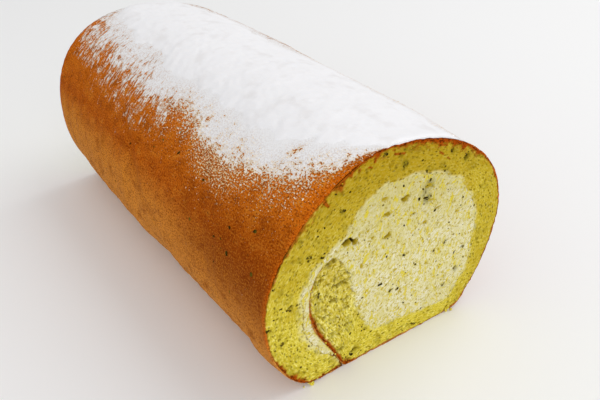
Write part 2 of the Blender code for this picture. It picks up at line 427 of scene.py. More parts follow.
def makeWhippedCream():
    look = creamLook
    material, tree, shader = newMaterial("cutWhippedCream")
    where = addNode(tree, "ShaderNodeTexCoord", out="Object")
    height = addNode(tree, "ShaderNodeSeparateXYZ", None, {0: where}, out="Z")
    across, along = look["strokeSize"]
    broad = addNode(tree, "ShaderNodeTexNoise", None, {"Vector": where, "Scale": perMm(8), "Detail": 3.0})
    leaning = []
    for lean in look["strokeLeans"]:
        turned = addNode(tree, "ShaderNodeMapping", {"vector_type": "POINT"},
                         {"Vector": where, "Rotation": (-math.radians(lean), 0.0, 0.0)})
        stretched = addNode(tree, "ShaderNodeVectorMath", times,
                            {0: turned, 1: (perMm(across), perMm(along), perMm(across))})
        leaning.append(addNode(tree, "ShaderNodeTexNoise", None,
                               {"Vector": stretched, "Scale": 1.0, "Detail": 4.0, "Roughness": 0.62,
                                "Distortion": 1.3}))
    either = addNode(tree, "ShaderNodeMapRange", easing, {0: broad, 1: 0.46, 2: 0.56})
    strokes = addNode(tree, "ShaderNodeMix", None, {0: either, 2: leaning[0], 3: leaning[1]})
    dragged = addNode(tree, "ShaderNodeVectorMath", times,
                      {0: turned, 1: (perMm(1.4), perMm(2.9), perMm(1.4))})
    bits = addNode(tree, "ShaderNodeTexNoise", None,
                   {"Vector": dragged, "Scale": 1.0, "Detail": 3.0, "Roughness": 0.65, "Distortion": 0.8})
    teaDistance = addNode(tree, "ShaderNodeTexVoronoi", None, {"Vector": where, "Scale": perMm(3.4)})
    teaRound = addNode(tree, "ShaderNodeMapRange", easing, {0: teaDistance, 1: 0.10, 2: 0.05})
    base = addNode(tree, "ShaderNodeValToRGB", None, {0: strokes}, look["tones"])
    patch = addNode(tree, "ShaderNodeMapRange", None, {0: broad, 1: 0.45, 2: 0.70, 4: 0.5})
    base = addNode(tree, "ShaderNodeMix", mixing, {0: patch, 6: base, 7: look["warm"]}, out=2)
    # painted shade darkens the cream towards the top of the face
    upper = addNode(tree, "ShaderNodeMapRange", easing, {0: height, 1: 26 * mm, 2: 76 * mm, 4: look["paintedShadeShare"]})
    base = addNode(tree, "ShaderNodeMix", mixing, {0: upper, 6: base, 7: look["paintedShadeTint"]}, out=2)
    yellow = addNode(tree, "ShaderNodeMapRange", easing, {0: bits, 1: 0.57, 2: 0.60, 4: 0.9})
    base = addNode(tree, "ShaderNodeMix", mixing, {0: yellow, 6: base, 7: look["bits"]}, out=2)
    pits = addNode(tree, "ShaderNodeTexNoise", None,
                   {"Vector": where, "Scale": perMm(0.9), "Detail": 2.0, "Roughness": 0.5})
    pitted = addNode(tree, "ShaderNodeMapRange", easing, {0: pits, 1: 0.60, 2: 0.66, 4: 0.8})
    base = addNode(tree, "ShaderNodeMix", mixing, {0: pitted, 6: base, 7: look["pit"]}, out=2)
    for name in ("edge", "ridgeHighlight", "stain", "char"):
        share = addNode(tree, "ShaderNodeAttribute", {"attribute_name": name}, out="Fac")
        base = addNode(tree, "ShaderNodeMix", mixing, {0: share, 6: base, 7: look[name]}, out=2)
    # painted shade in the bubbles and torn places of the cream, darker where they are deeper
    holeShade = addNode(tree, "ShaderNodeAttribute", {"attribute_name": "holeShade"}, out="Fac")
    holeDeep = addNode(tree, "ShaderNodeValToRGB", None, {0: holeShade}, look["holeShade"])
    holeShare = addNode(tree, "ShaderNodeMapRange", easing, {0: holeShade, 1: 0.02, 2: 0.3})
    base = addNode(tree, "ShaderNodeMix", mixing, {0: holeShare, 6: base, 7: holeDeep}, out=2)
    base = addNode(tree, "ShaderNodeMix", mixing, {0: teaRound, 6: base, 7: look["tea"]}, out=2)
    tree.links.new(base, shader.inputs["Base Color"])
    shader.inputs["Roughness"].default_value = look["roughness"]
    shader.inputs["Specular IOR Level"].default_value = 0.08
    shader.inputs["Subsurface Weight"].default_value = 0.1
    shader.inputs["Subsurface Radius"].default_value = (1.0, 0.9, 0.5)
    shader.inputs["Subsurface Scale"].default_value = 0.8 * mm
    drag = addNode(tree, "ShaderNodeBump", None,
                   {"Strength": 1.0, "Distance": 0.20 * mm, "Height": strokes})
    tree.links.new(drag, shader.inputs["Normal"])
    return material


# Baked skin: the sheet's outside, dried and browned against the oven's heat. It is thin, matt and
# finely pitted, darker over the shoulder and wrinkled low down where steam softened it; its paler colour low down
# is painted light from below.
skinLook = {
    # painted light: the paler stops along the bottom on both sides stand for light bounced up from the floor
    "around": (  # colour by share of the way round from the seam, over the top
        (0.03, "#d49a50"), (0.13, "#d48d3e"), (0.195, "#cd802e"), (0.237, "#b65708"),
        (0.28, "#c4640e"), (0.344, "#dc7212"), (0.44, "#b45c0e"), (0.60, "#a65006"),
        (0.69, "#b87030"), (0.76, "#bf7e38"), (0.89, "#c78c44"),
    ),
    "dark": "#772f00",
    "rim": "#d2600a",  # moist and bright where the knife opened it
    "rimShare": 0.6,
    "pale": "#d88a2c",
    "speck": "#33290b",
    "sugar": "#f3f2f3",
    "leanSugar": "#dccfc8",  # a thin film is dulled by what is under it
    "thinSugar": "#f4d8a8",  # single grains let the brown through
    "mottleSize": 6.0,
    "poreSize": 0.65,  # real pores are finer, drawn this coarse so that they show
    "grainSize": 0.72,
    "streakSize": (1.1, 4.0),  # drifts of sugar, along the roll and round it
    "roughness": 0.7,
}


def makeBakedSkin():
    look = skinLook
    material, tree, shader = newMaterial("bakedSpongeSkin")
    wrapped = addNode(tree, "ShaderNodeAttribute", {"attribute_name": "wrapped"}, out="Vector")  # in mm
    around = addNode(tree, "ShaderNodeAttribute", {"attribute_name": "around"}, out="Fac")
    low = addNode(tree, "ShaderNodeAttribute", {"attribute_name": "low"}, out="Fac")
    dust = addNode(tree, "ShaderNodeAttribute", {"attribute_name": "dust"}, out="Fac")
    grainShare = addNode(tree, "ShaderNodeAttribute", {"attribute_name": "grains"}, out="Fac")
    mottle = addNode(tree, "ShaderNodeTexNoise", None,
                     {"Vector": wrapped, "Scale": 1 / look["mottleSize"], "Detail": 6.0, "Roughness": 0.7})
    fine = addNode(tree, "ShaderNodeTexNoise", None,
                   {"Vector": wrapped, "Scale": 1 / look["poreSize"], "Detail": 3.0, "Roughness": 0.7})
    folded = addNode(tree, "ShaderNodeVectorMath", times, {0: wrapped, 1: (1 / 7.0, 1 / 60.0, 1.0)})
    folds = addNode(tree, "ShaderNodeTexNoise", None,
                    {"Vector": folded, "Scale": 1.0, "Detail": 4.0, "Roughness": 0.5, "Distortion": 0.6})
    base = addNode(tree, "ShaderNodeValToRGB", None, {0: around}, look["around"])
    darker = addNode(tree, "ShaderNodeMapRange", easing, {0: mottle, 1: 0.48, 2: 0.66, 4: 0.55})
    base = addNode(tree, "ShaderNodeMix", mixing, {0: darker, 6: base, 7: look["dark"]}, out=2)
    paler = addNode(tree, "ShaderNodeMapRange", easing, {0: mottle, 1: 0.48, 2: 0.32, 4: 0.5})
    base = addNode(tree, "ShaderNodeMix", mixing, {0: paler, 6: base, 7: look["pale"]}, out=2)
    # painted shade: the skin is coloured darker low on its left side, along the crease and in one spot near the
    # shown end
    skinPaintedShade = addNode(tree, "ShaderNodeAttribute", {"attribute_name": "skinPaintedShade"}, out="Fac")
    skinPaintedShadeShare = addNode(tree, "ShaderNodeMath", times, {0: skinPaintedShade, 1: 0.72})
    base = addNode(tree, "ShaderNodeMix", mixing, {0: skinPaintedShadeShare, 6: base, 7: look["dark"]}, out=2)
    # painted light: paler bands across the folds low down on the far half, where light bounced from the floor falls
    # on them
    paintedFoldLight = addNode(tree, "ShaderNodeMapRange", easing, {0: folds, 1: 0.47, 2: 0.66, 4: 0.4})
    paintedFoldLightShare = addNode(tree, "ShaderNodeMath", times, {0: paintedFoldLight, 1: low})
    base = addNode(tree, "ShaderNodeMix", mixing, {0: paintedFoldLightShare, 6: base, 7: look["pale"]}, out=2)
    rim = addNode(tree, "ShaderNodeAttribute", {"attribute_name": "rim"}, out="Fac")
    rimming = addNode(tree, "ShaderNodeMath", times, {0: rim, 1: look["rimShare"]})
    base = addNode(tree, "ShaderNodeMix", mixing, {0: rimming, 6: base, 7: look["rim"]}, out=2)
    pitDark = addNode(tree, "ShaderNodeMapRange", easing, {0: fine, 1: 0.51, 2: 0.61, 4: 0.85})
    base = addNode(tree, "ShaderNodeMix", mixing, {0: pitDark, 6: base, 7: look["dark"]}, out=2)
    pitLight = addNode(tree, "ShaderNodeMapRange", easing, {0: fine, 1: 0.47, 2: 0.38, 4: 0.4})
    base = addNode(tree, "ShaderNodeMix", mixing, {0: pitLight, 6: base, 7: look["pale"]}, out=2)
    speckDistance = addNode(tree, "ShaderNodeTexVoronoi", flat, {"Vector": wrapped, "Scale": 1 / 8.0})
    speck = addNode(tree, "ShaderNodeMapRange", easing, {0: speckDistance, 1: 0.05, 2: 0.02, 4: 0.6})
    base = addNode(tree, "ShaderNodeMix", mixing, {0: speck, 6: base, 7: look["speck"]}, out=2)
    # sifted sugar: a film in short drifts where it is dense, single grains where it thins out
    streaky = addNode(tree, "ShaderNodeAttribute", {"attribute_name": "streaky"}, out="Fac")
    streakAlong, streakRound = look["streakSize"]
    drifted = addNode(tree, "ShaderNodeVectorMath", times,
                      {0: wrapped, 1: (1 / streakAlong, 1 / streakRound, 1.0)})
    drift = addNode(tree, "ShaderNodeTexNoise", None,
                    {"Vector": drifted, "Scale": 1.0, "Detail": 4.0, "Roughness": 0.65, "Distortion": 0.4})
    clumps = addNode(tree, "ShaderNodeTexNoise", None,
                     {"Vector": wrapped, "Scale": 1 / 1.8, "Detail": 4.0, "Roughness": 0.7})
    powder = addNode(tree, "ShaderNodeTexNoise", None,
                     {"Vector": wrapped, "Scale": 1 / look["grainSize"], "Detail": 2.0, "Roughness": 0.6})
    streakShare = addNode(tree, "ShaderNodeMath", times, {0: streaky, 1: 0.62})
    uneven = addNode(tree, "ShaderNodeMix", None, {0: streakShare, 2: clumps, 3: drift})
    fewer = addNode(tree, "ShaderNodeMix", None, {0: streakShare, 2: powder, 3: drift})
    filmSum = addNode(tree, "ShaderNodeMath", {"operation": "MULTIPLY_ADD"}, {0: uneven, 1: 2.6, 2: dust})
    filmSum = addNode(tree, "ShaderNodeMath", {"operation": "MULTIPLY_ADD"}, {0: fewer, 1: 2.0, 2: filmSum})
    filmFull = addNode(tree, "ShaderNodeMapRange", None, {0: streaky, 3: 2.80, 4: 3.08})
    film = addNode(tree, "ShaderNodeMapRange", easing, {0: filmSum, 1: 2.56, 2: filmFull})
    thick = addNode(tree, "ShaderNodeMapRange", easing, {0: filmSum, 1: 2.62, 2: 3.10})
    grainSum = addNode(tree, "ShaderNodeMath", {"operation": "MULTIPLY_ADD"}, {0: grainShare, 1: 0.30, 2: powder})
    grain = addNode(tree, "ShaderNodeMapRange", easing, {0: grainSum, 1: 0.70, 2: 0.80, 4: 0.9})
    sugar = addNode(tree, "ShaderNodeMath", {"operation": "MAXIMUM"}, {0: film, 1: grain})
    base = addNode(tree, "ShaderNodeMix", mixing, {0: grain, 6: base, 7: look["thinSugar"]}, out=2)
    lean = addNode(tree, "ShaderNodeMapRange", easing, {0: dust, 1: 1.5, 2: 0.75, 4: 0.8})
    patchy = addNode(tree, "ShaderNodeMapRange", easing, {0: powder, 1: 0.47, 2: 0.60})
    leanPatch = addNode(tree, "ShaderNodeMath", times, {0: lean, 1: patchy})
    full = addNode(tree, "ShaderNodeMix", mixing, {0: leanPatch, 6: look["sugar"], 7: look["leanSugar"]}, out=2)
    white = addNode(tree, "ShaderNodeMix", mixing, {0: thick, 6: look["thinSugar"], 7: full}, out=2)
    base = addNode(tree, "ShaderNodeMix", mixing, {0: film, 6: base, 7: white}, out=2)
    tree.links.new(base, shader.inputs["Base Color"])
    shader.inputs["Roughness"].default_value = look["roughness"]
    shader.inputs["Specular IOR Level"].default_value = 0.02
    pitted = addNode(tree, "ShaderNodeBump", None,
                     {"Strength": 1.0, "Distance": 0.35 * mm, "Height": fine})
    heaped = addNode(tree, "ShaderNodeBump", None,
                     {"Strength": 0.8, "Distance": 0.3 * mm, "Height": sugar, "Normal": pitted})
    tree.links.new(heaped, shader.inputs["Normal"])
    return material


# Icing sugar, sifted: crystals milled to dust. It scatters light evenly, so it is flat white with
# faint soft shadows between its drifts.
sugarLook = {
    "sifted": ("#f2f1f3", "#ebe9ea"),
    "loose": ("#f7ead2", "#efd6b0"),  # single grains take colour from the skin under them
    "roughness": 0.95,
}


def makeIcingSugar(kind):
    look = sugarLook
    material, tree, shader = newMaterial(kind + "IcingSugar")
    where = addNode(tree, "ShaderNodeTexCoord", out="Object")
    drifts = addNode(tree, "ShaderNodeTexNoise", None, {"Vector": where, "Scale": perMm(7), "Detail": 5.0})
    grain = addNode(tree, "ShaderNodeTexNoise", None, {"Vector": where, "Scale": perMm(0.5), "Detail": 3.0})
    share = addNode(tree, "ShaderNodeMapRange", easing, {0: drifts, 1: 0.5, 2: 0.7})
    base = addNode(tree, "ShaderNodeMix", mixing, {0: share, 6: look[kind][0], 7: look[kind][1]}, out=2)
    tree.links.new(base, shader.inputs["Base Color"])
    shader.inputs["Roughness"].default_value = look["roughness"]
    shader.inputs["Specular IOR Level"].default_value = 0.2
    shader.inputs["Subsurface Weight"].default_value = 0.15
    shader.inputs["Subsurface Radius"].default_value = (1.0, 0.95, 0.9)
    shader.inputs["Subsurface Scale"].default_value = 0.6 * mm
    powder = addNode(tree, "ShaderNodeBump", None,
                     {"Strength": 0.35, "Distance": 0.15 * mm, "Height": grain})
    tree.links.new(powder, shader.inputs["Normal"])
    return material


# Green tea, ground: bits of dried leaf that the oven turned a dark brownish olive.
def makeTeaLeaf():
    material, tree, shader = newMaterial("groundTeaLeaf")
    where = addNode(tree, "ShaderNodeTexCoord", out="Object")
    tone = addNode(tree, "ShaderNodeTexNoise", None, {"Vector": where, "Scale": perMm(2.5), "Detail": 3.0})
    share = addNode(tree, "ShaderNodeMapRange", easing, {0: tone, 1: 0.4, 2: 0.62})
    base = addNode(tree, "ShaderNodeMix", mixing, {0: share, 6: "#2a2006", 7: "#665618"}, out=2)
    tree.links.new(base, shader.inputs["Base Color"])
    shader.inputs["Roughness"].default_value = 0.8
    shader.inputs["Specular IOR Level"].default_value = 0.02
    return material


cutEnd = {
    "spacing": 0.33,  # between the points of a cut face
    "crumbInset": 0.25,  # the crumb stops this far under the outside of the skin
    "wave": 0.35,  # how far the knife wandered
    "inset": 1.3,  # and this far inside the roll, where nothing shows
    "insetRun": 1.2,
    # bubbles: size of a cell, share of cells with one, and its smallest and largest half width
    "finePore": (1.15, 0.40, (0.18, 0.5)),
    "coarsePore": (4.5, 0.16, (0.4, 0.9)),
    "tonguePore": (1.3, 0.75, (0.25, 0.7)),
    "creamBubble": (3.6, 0.20, (0.3, 0.8)),
}

# Bubbles and torn places in the cream of the shown end: y, z, half width, half height, depth
creamHoles = (
    (3.0, 56.6, 2.0, 1.1, 1.6), (-3.6, 53.6, 1.7, 0.9, 1.0), (-2.9, 45.2, 1.3, 0.9, 1.3),
    (-17.8, 49.2, 2.3, 1.3, 2.2), (-15.2, 48.2, 1.1, 1.3, 2.6), (17.1, 47.8, 1.2, 0.6, 0.8),
    (12.2, 57.6, 1.5, 0.9, 0.9), (14.0, 52.0, 1.2, 0.5, 0.6), (24.0, 47.5, 1.4, 0.5, 0.6),
    (-8.6, 47.0, 0.7, 0.5, 0.8), (6.8, 49.6, 1.3, 0.6, 0.7), (20.5, 55.5, 0.9, 0.5, 0.6),
)

# Torn places in the sponge of the shown end: y, z, half width, half height, depth
crumbHoles = (
    (-29.4, 43.3, 1.6, 0.9, 1.6), (-23.8, 44.6, 1.9, 0.7, 1.3), (-20.8, 35.5, 2.4, 0.8, 0.9),
    (-22.8, 30.0, 1.9, 0.9, 0.8), (-18.2, 28.5, 1.2, 0.6, 0.6), (-13.8, 4.8, 1.6, 0.8, 1.0),
    (-19.0, 8.4, 1.6, 0.7, 0.8), (-26.0, 25.0, 1.3, 0.9, 0.6), (27.6, 62.5, 1.5, 0.9, 0.9),
    (20.6, 66.9, 0.9, 0.7, 0.7), (-38.0, 35.2, 0.9, 0.7, 0.6), (-17.0, 18.0, 1.4, 0.7, 0.5),
)


def namedHoles(y, z, holes, seed):
    deep = np.zeros(len(y))
    points = np.column_stack([y, z, np.zeros(len(y))])
    ragged = 0.5 * unevenness(points, 1.1, seed, 2)
    for cy, cz, halfWide, halfHigh, depth in holes:
        inside = 1 + ragged - ((y - cy) / halfWide) ** 2 - ((z - cz) / halfHigh) ** 2
        deep = np.maximum(deep, depth * smoothStep(0.0, 0.3, inside))
    return deep


# Ground tea that clumped and stained what is round it: y, z, reach, how many bits
teaClumps = (
    (11.8, 53.4, 1.7, 14), (12.4, 57.9, 1.7, 9), (10.4, 55.8, 1.2, 4), (8.6, 54.5, 0.6, 4), (0.3, 22.3, 0.6, 6),
    (-4.2, 27.3, 0.5, 4), (4.5, 34.7, 0.5, 4), (23.4, 32.1, 0.7, 5), (24.0, 14.0, 0.7, 6),
    (29.0, 18.8, 1.0, 5), (3.6, 22.0, 0.5, 4), (1.8, 68.9, 1.5, 9), (27.8, 62.4, 1.4, 10),
    (20.7, 66.9, 0.9, 7), (-5.6, 74.6, 0.8, 6), (-20.1, 60.5, 0.8, 5), (-13.6, 5.0, 1.3, 9),
    (-15.2, 48.3, 0.7, 8), (-32.0, 50.1, 1.0, 6), (-38.2, 35.0, 0.8, 6), (-46.2, 30.0, 0.5, 4),
    (-40.8, 22.0, 0.8, 5), (33.5, 64.0, 1.0, 7), (-2.6, 37.2, 0.4, 3), (-27.4, 48.4, 0.8, 5),
    (31.0, 27.0, 0.7, 4), (12.0, 2.4, 0.7, 4), (18.0, 30.5, 0.5, 3),
)

# Browned skin that the knife dragged into the crumb: from y, z to y, z and the half width
browned = (
    (-28.6, 69.8, -26.6, 66.0, 0.7), (-26.6, 66.0, -25.4, 64.6, 0.6), (-8.6, 77.5, -9.6, 73.4, 0.7),
    (-2.2, 73.2, 1.2, 72.2, 0.45), (15.0, 70.8, 17.6, 69.8, 0.4), (15.2, 68.2, 16.6, 67.2, 0.35),
    (18.6, 65.4, 19.8, 64.4, 0.35), (-11.8, 72.2, -10.6, 71.6, 0.3), (29.6, 66.4, 31.0, 63.6, 0.4),
)


def stains(y, z, side, seed, spread):
    # spread is how much tea coloured the food away from the clumps
    points = np.column_stack([y, z, np.zeros(len(y))])
    patchy = smoothStep(0.25, 0.8, unevenness(points, 3.2, seed, 3)) * spread
    if side > 0:
        for cy, cz, reach, count in teaClumps:
            near = np.exp(-((y - cy) ** 2 + (z - cz) ** 2) / (1.1 * reach) ** 2)
            patchy = np.maximum(patchy, 0.85 * near)
    return np.clip(patchy * (0.75 + 0.5 * unevenness(points, 1.0, seed + 1, 2)), 0.0, 0.8)


def sheetPlace(y, z, x):
    # which lap of sponge each point of a cross-section lies in, and how far from its two faces
    s = rollShape
    across, up = y - s["middleY"], z - s["middleZ"]
    radius = np.hypot(across, up)
    turn = np.mod(s["seamAngle"] - np.degrees(np.arctan2(up, across)), 360.0)
    skin, inside = sheetRadii(turn, x)
    lapSkin, lapInside = sheetRadii(np.minimum(turn + 360, s["innerEnd"]), x)
    hasLap = turn + 360 < s["innerEnd"]
    inLap = hasLap & (radius < (lapSkin + lapInside) / 2 + (lapSkin - lapInside) * 0.75)
    first = ~inLap | (radius > inside)
    fromSkin = np.where(first, skin - radius, lapSkin - radius)
    fromCream = np.where(first, radius - inside, radius - lapInside)
    place = {
        "turn": np.where(first, turn, turn + 360),
        "fromSkin": fromSkin,
        "fromCream": fromCream,
        "radius": radius,
    }
    place["inCream"] = (radius < inside) & ~(hasLap & (radius > lapInside) & (radius < lapSkin))
    place["inCream"] &= ~((turn < s["creamStart"]) & (radius > lapSkin))
    toLap = np.where(radius > lapSkin, radius - lapSkin, lapInside - radius)
    place["creamEdge"] = np.where(hasLap, np.minimum(inside - radius, toLap), inside - radius)
    return place


def knifeWave(points, seed):
    # sponge and cream were cut by the same stroke, so their faces share its waves
    return cutEnd["wave"] * unevenness(points, 18.0, seed) + 0.11 * unevenness(points, 3.4, seed + 1, 2)


def crumbRelief(y, z, seed, holes=()):
    points = np.column_stack([y, z, np.zeros(len(y))])
    place = sheetPlace(y, z, rollEnd)
    coarse = smoothStep(352, 385, place["turn"])
    relief = knifeWave(points, seed)
    relief += (0.08 + 0.2 * coarse) * unevenness(points, 1.0, seed + 2, 2)
    pore = 0.8 * hollows(y, z, *cutEnd["finePore"], seed + 3, 0.5)
    pore = np.maximum(pore, 1.3 * coarse * hollows(y, z, *cutEnd["tonguePore"], seed + 20, 0.2))
    pore = np.maximum(pore, 0.8 * hollows(y, z, *cutEnd["coarsePore"], seed + 9, 0.3))
    torn = namedHoles(y, z, holes, seed + 15)
    relief -= 0.1 * smoothStep(1.2, 0.0, place["fromSkin"])
    # the second value is the painted shade for the bubbles and torn places: deeper ones are darker
    return relief - pore - torn, np.clip(0.8 * pore + 0.7 * smoothStep(0.1, 0.8, torn), 0.0, 0.75), place


def ridgeShare(place, y, z):
    # the knife pulled the cream's upper left edge a little out of the sponge
    turn = place["turn"]
    points = np.column_stack([y, z, np.zeros(len(y))])
    where = smoothStep(44, 58, turn) * smoothStep(122, 108, turn)
    line = smoothStep(0.05, 0.3, place["creamEdge"]) * smoothStep(1.0, 0.5, place["creamEdge"])
    return where * line * smoothStep(-0.5, 0.2, unevenness(points, 2.2, 91, 2))


def creamRelief(y, z, seed, holes=()):
    points = np.column_stack([y, z, np.zeros(len(y))])
    lean = math.radians(creamLook["strokeLeans"][0])
    along = y * math.cos(lean) + z * math.sin(lean)
    across = z * math.cos(lean) - y * math.sin(lean)
    bend = 3.2 * unevenness(points, 5.0, seed + 6)
    dragged = np.column_stack([along + bend, across + bend, np.zeros(len(y))])
    stroke = unevenness(dragged, (1.9, 0.8, 1.0), seed + 6, 2)
    place = sheetPlace(y, z, rollEnd)
    relief = knifeWave(points, seed) + 0.09 * stroke * smoothStep(0.0, 1.0, place["creamEdge"])
    relief += 0.3 * ridgeShare(place, y, z)
    bubble = hollows(y, z, *cutEnd["creamBubble"], seed + 3, 0.2)
    torn = namedHoles(y, z, holes, seed + 15)
    # the second value is the painted shade for the bubbles and torn places
    return relief - bubble - torn, np.clip(0.5 * bubble + 0.42 * torn, 0.0, 1.0), place


def outlineTurns(start):
    s = rollShape
    straightEnd = s["innerEnd"] - s["tongueRounding"]
    stepDegrees = 0.62
    turns = np.arange(start, straightEnd, stepDegrees)
    tip = straightEnd + s["tongueRounding"] * np.sin(np.linspace(0, math.pi / 2, 40))
    return np.concatenate([turns, tip])


def spongeOutline(x):
    turns = outlineTurns(0.0)
    skin, inside = sheetRadii(turns, x)
    deeper = smoothStep(0.0, cutEnd["insetRun"], rollEnd - abs(x))
    inset = cutEnd["crumbInset"] + deeper * (cutEnd["inset"] - cutEnd["crumbInset"])
    skin = np.maximum(skin - inset, inside)
    outY, outZ = crossPoint(endReach(turns), skin)
    backY, backZ = crossPoint(turns[::-1][1:], inside[::-1][1:])
    return np.column_stack([np.concatenate([outY, backY]), np.concatenate([outZ, backZ])])[::-1]


def creamOutline(x):
    s = rollShape
    overlap = 0.12  # the cream clings to the sponge
    firstTurns = outlineTurns(s["creamStart"])
    lapTurns = outlineTurns(s["creamStart"] + 360)
    inside = sheetRadii(firstTurns, x)[1] + overlap
    lapSkin = sheetRadii(lapTurns, x)[0] - overlap
    firstY, firstZ = crossPoint(firstTurns[:-1], inside[:-1])
    lapY, lapZ = crossPoint(lapTurns[::-1], lapSkin[::-1])
    return np.column_stack([np.concatenate([firstY, lapY]), np.concatenate([firstZ, lapZ])])[::-1]


def lattice(spacing):
    low, high = -rollShape["halfWidth"], rollShape["halfWidth"]
    rows = np.arange(0.0, rollShape["height"] + 1, spacing * math.sqrt(3) / 2)
    columns = np.arange(low, high, spacing)
    y, z = np.meshgrid(columns, rows)
    y[1::2] += spacing / 2
    return y.ravel(), z.ravel()


def capTriangles(outline, inner):
    points = [Vector(p) for p in np.vstack([outline, inner])]
    result = delaunay_2d_cdt(points, [], [list(range(len(outline)))], 1, 1e-5)
    first = [origins[0] if origins else 0 for origins in result[3]]
    return [[first[i] for i in face] for face in result[2]]


def logWithCutFaces(outlineAt, keepInside, reliefAt, stations):
    # a closed log with fine cut faces: rings along its length and a filled face at each end
    inner = rollEnd - cutEnd["insetRun"]
    places = np.concatenate([[-rollEnd], np.linspace(-inner, inner, stations - 2), [rollEnd]])
    outlines = [outlineAt(x) for x in places]
    count = len(outlines[0])
    points = [np.column_stack([np.full(count, x), ring]) for x, ring in zip(places, outlines)]
    faces = []
    for station in range(stations - 1):
        here, there = station * count, (station + 1) * count
        for i in range(count):
            j = (i + 1) % count
            faces.append([here + i, here + j, there + j, there + i])
    marks = [None] * stations
    for side, seed in ((1, 40), (-1, 70)):
        ring = outlines[-1] if side > 0 else outlines[0]
        y, z = lattice(cutEnd["spacing"])
        keep = keepInside(y, z, side * rollEnd)
        inner = np.column_stack([y[keep], z[keep]])
        start = sum(len(p) for p in points)
        ringStart = (stations - 1) * count if side > 0 else 0
        for face in capTriangles(ring, inner):
            face = [ringStart + i if i < count else start + i - count for i in face]
            faces.append(face if side > 0 else face[::-1])
        relief, capMarks = reliefAt(np.vstack([ring, inner]), seed, side)
        points.append(np.column_stack([side * (rollEnd + relief[count:]), inner]))
        points[stations - 1 if side > 0 else 0][:, 0] += side * relief[:count]
        marks[stations - 1 if side > 0 else 0] = {k: v[:count] for k, v in capMarks.items()}
        marks.append({k: v[count:] for k, v in capMarks.items()})
    names = marks[-1].keys()
    sizes = [len(p) for p in points]
    joined = {
        k: np.concatenate([m[k] if m else np.zeros(size) for m, size in zip(marks, sizes)]) for k in names
    }
    return np.vstack(points), faces, joined


def crustShare(place, y, z, side, seed):
    # how brown the cut crumb is: a ragged rim, thicker along the top, and flakes dragged inwards
    points = np.column_stack([place["turn"] * 0.8, place["fromSkin"], np.zeros(len(y))])
    top = smoothStep(52, 66, z)
    depth = 0.9 + 0.35 * unevenness(points * [1, 0, 0], 2.6, seed, 2) + 0.5 * top
    depth += (0.3 + 2.0 * top) * np.maximum(unevenness(points * [1, 0, 0], 3.4, seed + 5, 2), 0.0) ** 2
    turn = place["turn"]
    left = smoothStep(35, 60, turn) * smoothStep(150, 120, turn)
    shoulder = smoothStep(158, 180, turn) * smoothStep(238, 216, turn)
    lowLeft = smoothStep(48, 26, turn)
    tongue = smoothStep(345, 352, turn)
    raggedRim = 0.6 + 0.8 * np.maximum(unevenness(points * [1, 0, 0], 1.5, seed + 6, 2), -0.5)
    depth += (1.0 * shoulder + 1.7 * lowLeft) * raggedRim + 1.1 * tongue * smoothStep(420, 402, turn)
    depth -= 0.1 * left
    share = smoothStep(1.1, 0.45, place["fromSkin"] / np.maximum(depth, 0.3)) * (1 - 0.2 * left)
    share *= 1 - 0.8 * smoothStep(410, 434, turn)
    flakes = smoothStep(0.38, 0.66, unevenness(points, (1.7, 0.8, 1.0), seed + 8, 2))
    share = np.maximum(share, 0.8 * flakes * smoothStep(4.6, 1.0, place["fromSkin"]) * top)
    if side > 0:
        onFace = np.column_stack([y, z, np.zeros(len(y))])
        ragged = 0.35 * unevenness(onFace, 0.9, seed + 11, 2)
        for y0, z0, y1, z1, halfWide in browned:
            run, rise = y1 - y0, z1 - z0
            t = np.clip(((y - y0) * run + (z - z0) * rise) / (run**2 + rise**2), 0.0, 1.0)
            away = np.hypot(y - y0 - t * run, z - z0 - t * rise) / halfWide + ragged
            share = np.maximum(share, 0.9 * smoothStep(1.2, 0.6, away))
    return np.clip(share, 0.0, 1.0)


def spongeInside(y, z, x):
    place = sheetPlace(y, z, x)
    margin = 0.5 * cutEnd["spacing"]
    return (place["fromSkin"] > cutEnd["crumbInset"] + margin) & (place["fromCream"] > margin)


def creamInside(y, z, x):
    place = sheetPlace(y, z, x)
    return place["inCream"] & (place["creamEdge"] > 0.3 * cutEnd["spacing"])


def sheetRun(turn):
    # mm travelled along the sheet's middle by each turn
    turns = np.arange(0.0, rollShape["innerEnd"] + 1)
    run = np.cumsum(np.radians(np.mean(sheetRadii(turns, rollEnd), axis=0)))
    return np.interp(turn, turns, run)


def spongeCut(spots, seed, side):
    y, z = spots.T
    relief, pore, place = crumbRelief(y, z, seed, crumbHoles if side > 0 else ())
    points = np.column_stack([y, z, np.zeros(len(y))])
    reach = 1.6 + 1.8 * smoothStep(12, 25, place["turn"]) * smoothStep(75, 55, place["turn"])
    smear = smoothStep(reach, 0.2, place["fromCream"]) * smoothStep(-0.8, 0.3, unevenness(points, 1.5, seed, 2))
    marks = {
        "along": sheetRun(place["turn"]),
        "across": place["fromSkin"],
        "open": smoothStep(352, 385, place["turn"]),
        "hollowShade": pore,
        "smear": smear * 0.85,
        "stain": stains(y, z, side, seed + 50, 0.35),
        "crust": crustShare(place, y, z, side, seed + 30),
    }
    return relief, marks


